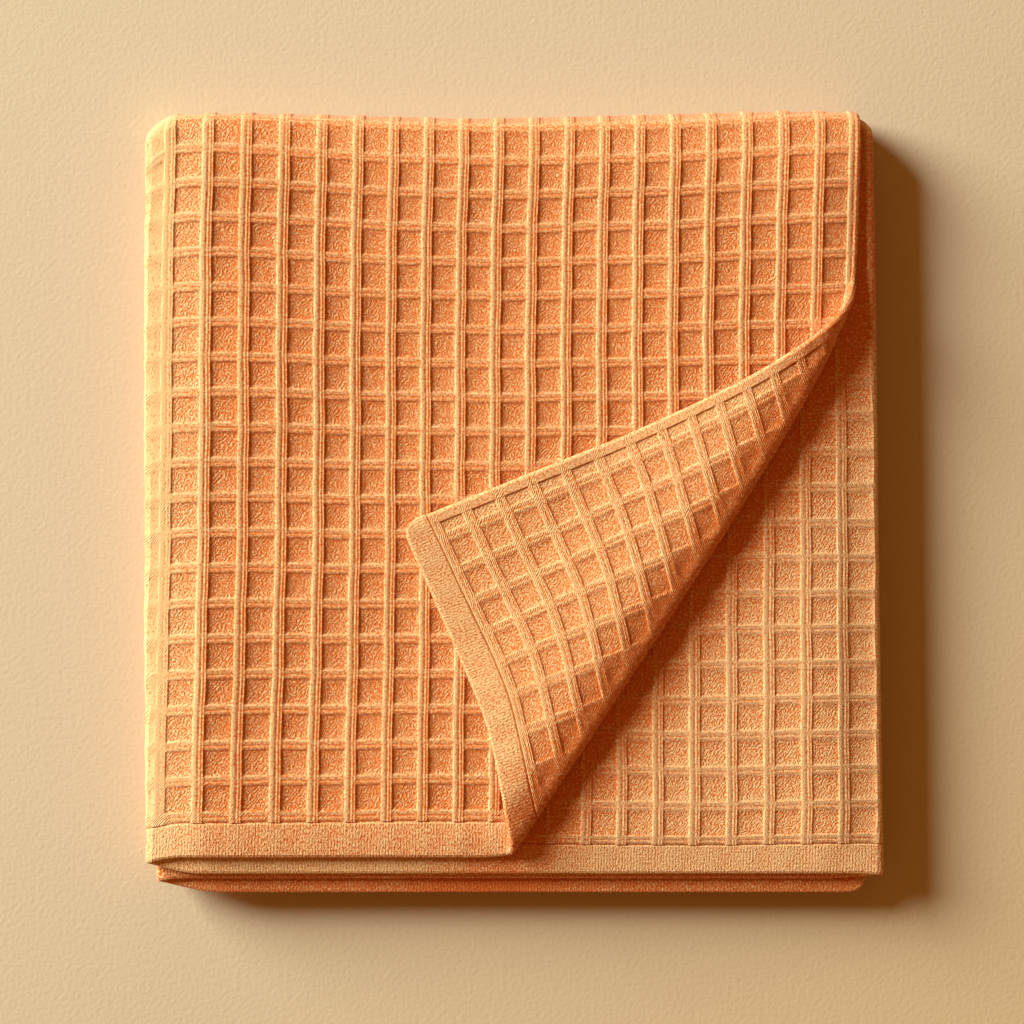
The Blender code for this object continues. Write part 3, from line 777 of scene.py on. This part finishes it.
def weave_mesh():
    """Both faces of the cloth, tile by tile, and the rim that joins them."""
    sides = [face_tiles(True), face_tiles(False)]
    borders = [shared_lines(tiles) for tiles in sides]
    high_u = round(CLOTH_LENGTH / LINE_UNIT)
    high_v = round(CLOTH_WIDTH / LINE_UNIT)
    rim_u = {0: set(), high_v: set()}
    rim_v = {0: set(), high_u: set()}
    for tiles in sides:
        for along, across in tiles.values():
            for at in rim_u:
                if at in (across[0], across[-1]):
                    rim_u[at].update(along)
            for at in rim_v:
                if at in (along[0], along[-1]):
                    rim_v[at].update(across)

    points, faces, index = [], [], {}

    def corner(side, u, v):
        key = (side, u, v)
        if key not in index:
            index[key] = len(points)
            points.append(key)
        return index[key]

    for side, tiles in enumerate(sides):
        level, upright = borders[side]
        for (i, j), (along, across) in tiles.items():
            edge_sets = {}
            for at, key in ((across[0], (i, j)), (across[-1], (i, j + 1))):
                edge_sets["u", at] = sorted(rim_u.get(at, level[key]))
            for at, key in ((along[0], (i, j)), (along[-1], (i + 1, j))):
                edge_sets["v", at] = sorted(rim_v.get(at, upright[key]))
            for u0, u1 in zip(along[:-1], along[1:]):
                for v0, v1 in zip(across[:-1], across[1:]):
                    low = [p for p in edge_sets.get(("u", v0), ()) if u0 < p < u1]
                    high = [p for p in edge_sets.get(("u", v1), ()) if u0 < p < u1]
                    left = [p for p in edge_sets.get(("v", u0), ()) if v0 < p < v1]
                    right = [p for p in edge_sets.get(("v", u1), ()) if v0 < p < v1]
                    ring = [(u0, v0)] + [(p, v0) for p in low] + [(u1, v0)]
                    ring += [(u1, p) for p in right] + [(u1, v1)]
                    ring += [(p, v1) for p in reversed(high)] + [(u0, v1)]
                    ring += [(u0, p) for p in reversed(left)]
                    ids = [corner(side, *p) for p in ring]
                    faces.append(ids[::-1] if side == 0 else ids)

    def rim(places, at_low, lengthwise):
        places = sorted(places)
        for p0, p1 in zip(places[:-1], places[1:]):
            a, b = ((p0, at), (p1, at)) if lengthwise else ((at, p0), (at, p1))
            ring = [corner(0, *a), corner(0, *b), corner(1, *b), corner(1, *a)]
            faces.append(ring if at_low == lengthwise else ring[::-1])

    for at, places in rim_u.items():
        rim(places, at == 0, True)
    for at, places in rim_v.items():
        rim(places, at == 0, False)
    return np.array(points), faces


points, faces = weave_mesh()
is_front = points[:, 0] == 0
cloth_u = points[:, 1] * LINE_UNIT
cloth_v = points[:, 2] * LINE_UNIT
_, _, past_lift = cloth_point(cloth_u, cloth_v, 0.0)
shows = front_shows(cloth_u, past_lift)
turned = past_lift > 0
front = relief(cloth_u, cloth_v, True, shows, turned)
back = relief(cloth_u, cloth_v, False, 1 - shows, turned)
height, rib_height, pale = [np.where(is_front, f, b) for f, b in zip(front, back)]
offset = np.where(is_front, height, -height)
spots, _, _ = cloth_point(cloth_u, cloth_v, offset)
spots[:, 2] = np.maximum(spots[:, 2], 0.0)
towel_mesh = bpy.data.meshes.new("towel cloth")
towel_mesh.from_pydata(spots.tolist(), [], faces)
towel_mesh.shade_smooth()
towel_mesh.set_sharp_from_angle(angle=SHARP_ANGLE)
# The paleness carries painted light and shade as well as the yarn's own tone.
for name, measure in (("rib height", rib_height), ("paleness", pale)):
    mark = towel_mesh.attributes.new(name, "FLOAT", "POINT")
    mark.data.foreach_set("value", measure)
towel = bpy.data.objects.new("towel_cloth", towel_mesh)
bpy.context.scene.collection.objects.link(towel)

# The flat cloth's own coordinates, the back face beside the front with its pits in step.
BACK_SHEET = 45 * CELL_V
MAP_SCALE = 0.9
corners = np.empty(len(towel_mesh.loops), int)
towel_mesh.loops.foreach_get("vertex_index", corners)
along_map = cloth_u + np.where(is_front, 0.0, FRONT_RIB_U - BACK_RIB_U + CELL_U)
across_map = cloth_v + np.where(is_front, 0.0, BACK_SHEET)
flat_map = np.stack([along_map, across_map], 1)[corners] * MAP_SCALE
towel_mesh.uv_layers.new(name="cloth").data.foreach_set("uv", flat_map.ravel())

# The finish: combed cotton yarn, between a pale and a deep tone by the paleness that the
# mesh carries: the deep tone in the grooves, pits and shaded places is painted shade, the
# pale tone on the lamp's side of the ribs painted light. The pits' floors are a fine plain
# weave. All lengths are millimetres.
PALE_AND_PAINTED_LIGHT_COLOUR = (0.85, 0.54, 0.23, 1.0)
DEEP_AND_PAINTED_SHADE_COLOUR = (0.77, 0.187, 0.022, 1.0)
TONE_RANGE = (-0.2, 1.1)
ROUGHNESS = 0.95
SHINE = 0.2
SHEEN = 0.15
SHEEN_ROUGHNESS = 0.6
MILLIMETRE = 0.001

# Specks of fibre, blotches and clouds: the size of each, and how much it sways the yarn.
SPECK_SIZE = 0.80
SPECK_TONE = 3.5
SPECK_DEPTH = 0.12
MOTTLE_SIZE = 2.4
MOTTLE_TONE = 0.6
CLOUD_SIZE = 45.0
CLOUD_DEPTH = 0.05

# The hem: its upright yarns and their grain.
HEM_PITCH = 1.03
HEM_YARN_HEIGHT = 0.030
HEM_WAVER = 0.3
HEM_EASE = 0.3
HEM_GRAIN_SIZE = 0.52
HEM_GRAIN_RUN = 0.55
HEM_GRAIN_TONE = -0.5
HEM_GRAIN_DEPTH = 0.28
HEM_GRAIN_HEIGHT = 0.30

# The weave: strands on the cords, threads on the pits' floors, and fuzz over all of it.
RIB_SIDE = (1.7, 2.2)
STRAND_PITCH = 0.95
STRAND_HEIGHT = 0.07
WAVER_SIZE = 3.0
WAVER = 1.5
PIT_SIDE = (0.05, 0.7)
THREAD_PITCH = 1.25
PICK_PITCH = 1.6
THREAD_TONE = 0.80
THREAD_HEIGHT = 0.16
WARP_SIZE = (2.2, 2.6)
WARP = (2.0, 3.0)
FUZZ_SIZE = 0.6
FUZZ_HEIGHT = 0.18

finish = bpy.data.materials.new("coral cotton weave")
finish.use_nodes = True
nodes = finish.node_tree.nodes
links = finish.node_tree.links
towel_mesh.materials.append(finish)


def feed(socket, value):
    """Give a socket a link or a plain value."""
    if isinstance(value, bpy.types.NodeSocket):
        links.new(value, socket)
    else:
        socket.default_value = value


def reckon(operation, *values):
    """One step of arithmetic on measures of the cloth."""
    node = nodes.new("ShaderNodeMath")
    node.operation = operation
    for socket, value in zip(node.inputs, values):
        feed(socket, value)
    return node.outputs["Value"]


def rise(value, low, high):
    """0 below low, 1 above high, and a smooth step between."""
    node = nodes.new("ShaderNodeMapRange")
    node.interpolation_type = "SMOOTHSTEP"
    feed(node.inputs["Value"], value)
    feed(node.inputs["From Min"], low)
    feed(node.inputs["From Max"], high)
    return node.outputs["Result"]


def spot_of(along, across):
    """A place on the flat cloth as a vector."""
    node = nodes.new("ShaderNodeCombineXYZ")
    feed(node.inputs["X"], along)
    feed(node.inputs["Y"], across)
    return node.outputs["Vector"]


def unevenness(place, size, detail):
    """Soft noise of a given grain size, round one half."""
    node = nodes.new("ShaderNodeTexNoise")
    node.noise_dimensions = "2D"
    feed(node.inputs["Vector"], place)
    feed(node.inputs["Scale"], 1 / size)
    feed(node.inputs["Detail"], detail)
    return node.outputs["Fac"]


def measure_of(name):
    """A measure that the mesh carries."""
    node = nodes.new("ShaderNodeAttribute")
    node.attribute_name = name
    return node.outputs["Fac"]


flat_place = nodes.new("ShaderNodeUVMap")
flat_place.uv_map = "cloth"
split = nodes.new("ShaderNodeSeparateXYZ")
links.new(flat_place.outputs["UV"], split.inputs["Vector"])
along = reckon("MULTIPLY", split.outputs["X"], 1 / (MAP_SCALE * MILLIMETRE))
across = reckon("MULTIPLY", split.outputs["Y"], 1 / (MAP_SCALE * MILLIMETRE))
height_share = measure_of("rib height")
paleness = measure_of("paleness")

# Where a place lies in its cell: near a rib, on a pit's floor or in the hem.
from_rib_u = reckon("PINGPONG", reckon("SUBTRACT", along, FRONT_RIB_U / MILLIMETRE),
                    CELL_U / 2 / MILLIMETRE)
from_rib_v = reckon("PINGPONG", reckon("SUBTRACT", across, RIB_V / MILLIMETRE),
                    CELL_V / 2 / MILLIMETRE)
on_rib = reckon("SUBTRACT", 1.0, rise(reckon("MINIMUM", from_rib_u, from_rib_v), *RIB_SIDE))
in_pit = reckon("SUBTRACT", 1.0, rise(height_share, *PIT_SIDE))
across_sheet = reckon("MODULO", across, BACK_SHEET / MILLIMETRE)
from_middle = reckon("ABSOLUTE", reckon("SUBTRACT", across_sheet, CLOTH_WIDTH / 2 / MILLIMETRE))
hem_start = (CLOTH_WIDTH / 2 - SEAM) / MILLIMETRE
on_hem = rise(from_middle, hem_start, hem_start + HEM_EASE)
weave = reckon("SUBTRACT", 1.0, on_hem)

# Cords: slanting strands. Hem: upright yarns.
waver = reckon("MULTIPLY", unevenness(spot_of(along, across), WAVER_SIZE, detail=1.0), WAVER)
slant = reckon("ADD", reckon("ADD", along, across), waver)
strand = reckon("SINE", reckon("MULTIPLY", slant, 2 * math.pi / STRAND_PITCH))
strand = reckon("MULTIPLY", strand, reckon("MULTIPLY", on_rib, weave))
yarn_line = reckon("ADD", along, reckon("MULTIPLY", waver, HEM_WAVER))
hem_yarn = reckon("SINE", reckon("MULTIPLY", yarn_line, 2 * math.pi / HEM_PITCH))
hem_yarn = reckon("MULTIPLY", hem_yarn, on_hem)

# Pit floors: threads over and under each other, warped a little.
warp_u = reckon("MULTIPLY", unevenness(spot_of(across, along), WARP_SIZE[0], detail=1.0), WARP[0])
warp_v = reckon("MULTIPLY", unevenness(spot_of(along, across), WARP_SIZE[1], detail=1.0), WARP[1])
thread_line = reckon("ADD", along, warp_u)
pick_line = reckon("ADD", across, warp_v)
thread = reckon("SINE", reckon("MULTIPLY", thread_line, 2 * math.pi / THREAD_PITCH))
pick = reckon("SINE", reckon("MULTIPLY", pick_line, 2 * math.pi / PICK_PITCH))
thread = reckon("MULTIPLY", reckon("MULTIPLY", thread, pick), reckon("MULTIPLY", in_pit, weave))

# The hem's grain is drawn out along its upright yarns. Fine fuzz lies over everything.
hem_place = spot_of(along, reckon("MULTIPLY", across, HEM_GRAIN_RUN))
hem_grain = reckon("SUBTRACT", unevenness(hem_place, HEM_GRAIN_SIZE, detail=2.0), 0.5)
hem_grain = reckon("MULTIPLY", hem_grain, on_hem)

fuzz = unevenness(spot_of(along, across), FUZZ_SIZE, detail=2.0)
surface_height = reckon("MULTIPLY", strand, STRAND_HEIGHT)
for share, height_of in ((thread, THREAD_HEIGHT), (hem_yarn, HEM_YARN_HEIGHT),
                         (hem_grain, HEM_GRAIN_HEIGHT), (fuzz, FUZZ_HEIGHT)):
    surface_height = reckon("ADD", surface_height, reckon("MULTIPLY", share, height_of))

bump = nodes.new("ShaderNodeBump")
bump.inputs["Distance"].default_value = MILLIMETRE
links.new(surface_height, bump.inputs["Height"])

# Colour: by the paleness that the mesh carries, with its painted light and shade, and
# specks of pale and deep fibre and soft clouds.
speck = reckon("SUBTRACT", unevenness(spot_of(along, across), SPECK_SIZE, detail=3.0), 0.5)
speck = reckon("ADD", reckon("MULTIPLY", speck, weave), hem_grain)
cloud = reckon("SUBTRACT", unevenness(spot_of(across, along), CLOUD_SIZE, detail=1.0), 0.5)
speck_tone = reckon("ADD", SPECK_TONE, reckon("MULTIPLY", on_hem, HEM_GRAIN_TONE))
light = reckon("ADD", paleness, reckon("MULTIPLY", speck, speck_tone))
light = reckon("ADD", light, reckon("MULTIPLY", thread, THREAD_TONE))
mottle = reckon("SUBTRACT", unevenness(spot_of(across, along), MOTTLE_SIZE, detail=2.0), 0.5)
light = reckon("ADD", light, reckon("MULTIPLY", mottle, MOTTLE_TONE))
tone = nodes.new("ShaderNodeMix")
tone.data_type = "RGBA"
feed(tone.inputs["Factor"], rise(light, *TONE_RANGE))
feed(tone.inputs["A"], DEEP_AND_PAINTED_SHADE_COLOUR)
feed(tone.inputs["B"], PALE_AND_PAINTED_LIGHT_COLOUR)
speck_depth = reckon("ADD", 2 * SPECK_DEPTH, reckon("MULTIPLY", on_hem, 2 * HEM_GRAIN_DEPTH))
shade = reckon("ADD", 1.0, reckon("MULTIPLY", speck, speck_depth))
shade = reckon("ADD", shade, reckon("MULTIPLY", cloud, 2 * CLOUD_DEPTH))
yarn = nodes.new("ShaderNodeVectorMath")
yarn.operation = "SCALE"
links.new(tone.outputs["Result"], yarn.inputs[0])
links.new(shade, yarn.inputs["Scale"])

cotton = nodes["Principled BSDF"]
cotton.inputs["Roughness"].default_value = ROUGHNESS
cotton.inputs["Specular IOR Level"].default_value = SHINE
cotton.inputs["Sheen Weight"].default_value = SHEEN
cotton.inputs["Sheen Roughness"].default_value = SHEEN_ROUGHNESS
links.new(yarn.outputs["Vector"], cotton.inputs["Base Color"])
links.new(bump.outputs["Normal"], cotton.inputs["Normal"])

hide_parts("towel")
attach(towel, "root")

# Surface and light
# A plain pale surface with a painted shade that deepens its colour towards the lower
# right, and one large soft lamp low at the upper left. The room gives a weak warm light
# from all round.
FLOOR_SIZE = 3.0
NEAR_COLOUR = (0.655, 0.565, 0.36, 1.0)
FLOOR_PAINTED_SHADE_COLOUR = (0.64, 0.505, 0.26, 1.0)
PAINTED_SHADE_TOWARDS = (math.sqrt(0.5), -math.sqrt(0.5), 0.0)
PAINTED_SHADE_RUN = (-0.1133, 0.34)
GRAIN_SIZE = 0.0016
GRAIN_DEPTH = 0.00012
GRAIN_DETAIL = 3.0
FLOOR_ROUGHNESS = 0.9
LAMP_TOWARDS = (-2.05, 1.23, 1.0)
LAMP_DISTANCE = 5.0
LAMP_SIZE = 2.9
LAMP_POWER = 566.0
ROOM_COLOUR = (0.26, 0.100, 0.021, 1.0)

half_floor = FLOOR_SIZE / 2
floor_mesh = bpy.data.meshes.new("surface")
floor_corners = [(-half_floor, -half_floor, 0), (half_floor, -half_floor, 0),
                 (half_floor, half_floor, 0), (-half_floor, half_floor, 0)]
floor_mesh.from_pydata(floor_corners, [], [(0, 1, 2, 3)])
floor = bpy.data.objects.new("surface", floor_mesh)
bpy.context.scene.collection.objects.link(floor)
floor_material = bpy.data.materials.new("pale surface")
floor_material.use_nodes = True
floor_nodes = floor_material.node_tree.nodes
floor_links = floor_material.node_tree.links
floor_shader = floor_nodes["Principled BSDF"]
floor_shader.inputs["Roughness"].default_value = FLOOR_ROUGHNESS
floor_place = floor_nodes.new("ShaderNodeTexCoord")
towards_corner = floor_nodes.new("ShaderNodeVectorMath")
towards_corner.operation = "DOT_PRODUCT"
towards_corner.inputs[1].default_value = PAINTED_SHADE_TOWARDS
floor_links.new(floor_place.outputs["Object"], towards_corner.inputs[0])
share_of_run = floor_nodes.new("ShaderNodeMapRange")
share_of_run.interpolation_type = "SMOOTHSTEP"
share_of_run.inputs["From Min"].default_value = PAINTED_SHADE_RUN[0]
share_of_run.inputs["From Max"].default_value = PAINTED_SHADE_RUN[1]
floor_links.new(towards_corner.outputs["Value"], share_of_run.inputs["Value"])
# Painted shade: the surface's colour deepens towards the lower right.
floor_painted_shade = floor_nodes.new("ShaderNodeMix")
floor_painted_shade.data_type = "RGBA"
floor_painted_shade.inputs["A"].default_value = NEAR_COLOUR
floor_painted_shade.inputs["B"].default_value = FLOOR_PAINTED_SHADE_COLOUR
floor_links.new(share_of_run.outputs["Result"], floor_painted_shade.inputs["Factor"])
floor_links.new(floor_painted_shade.outputs["Result"], floor_shader.inputs["Base Color"])
floor_grain = floor_nodes.new("ShaderNodeTexNoise")
floor_grain.inputs["Scale"].default_value = 1 / GRAIN_SIZE
floor_grain.inputs["Detail"].default_value = GRAIN_DETAIL
floor_links.new(floor_place.outputs["Object"], floor_grain.inputs["Vector"])
floor_bump = floor_nodes.new("ShaderNodeBump")
floor_bump.inputs["Distance"].default_value = GRAIN_DEPTH
floor_links.new(floor_grain.outputs["Fac"], floor_bump.inputs["Height"])
floor_links.new(floor_bump.outputs["Normal"], floor_shader.inputs["Normal"])
floor_mesh.materials.append(floor_material)

lamp = bpy.data.objects.new("lamp", bpy.data.lights.new("lamp", "AREA"))
lamp.data.shape = "DISK"
lamp.data.size = LAMP_SIZE
lamp.data.energy = LAMP_POWER
lamp.location = Vector(LAMP_TOWARDS).normalized() * LAMP_DISTANCE
lamp.rotation_euler = (-lamp.location).to_track_quat("-Z", "Y").to_euler()
bpy.context.scene.collection.objects.link(lamp)

room = bpy.data.worlds.new("room")
room.use_nodes = True
room.node_tree.nodes["Background"].inputs["Color"].default_value = ROOM_COLOUR
room.node_tree.nodes["Background"].inputs["Strength"].default_value = 1.0
bpy.context.scene.world = room
bpy.context.scene.view_settings.view_transform = "Standard"
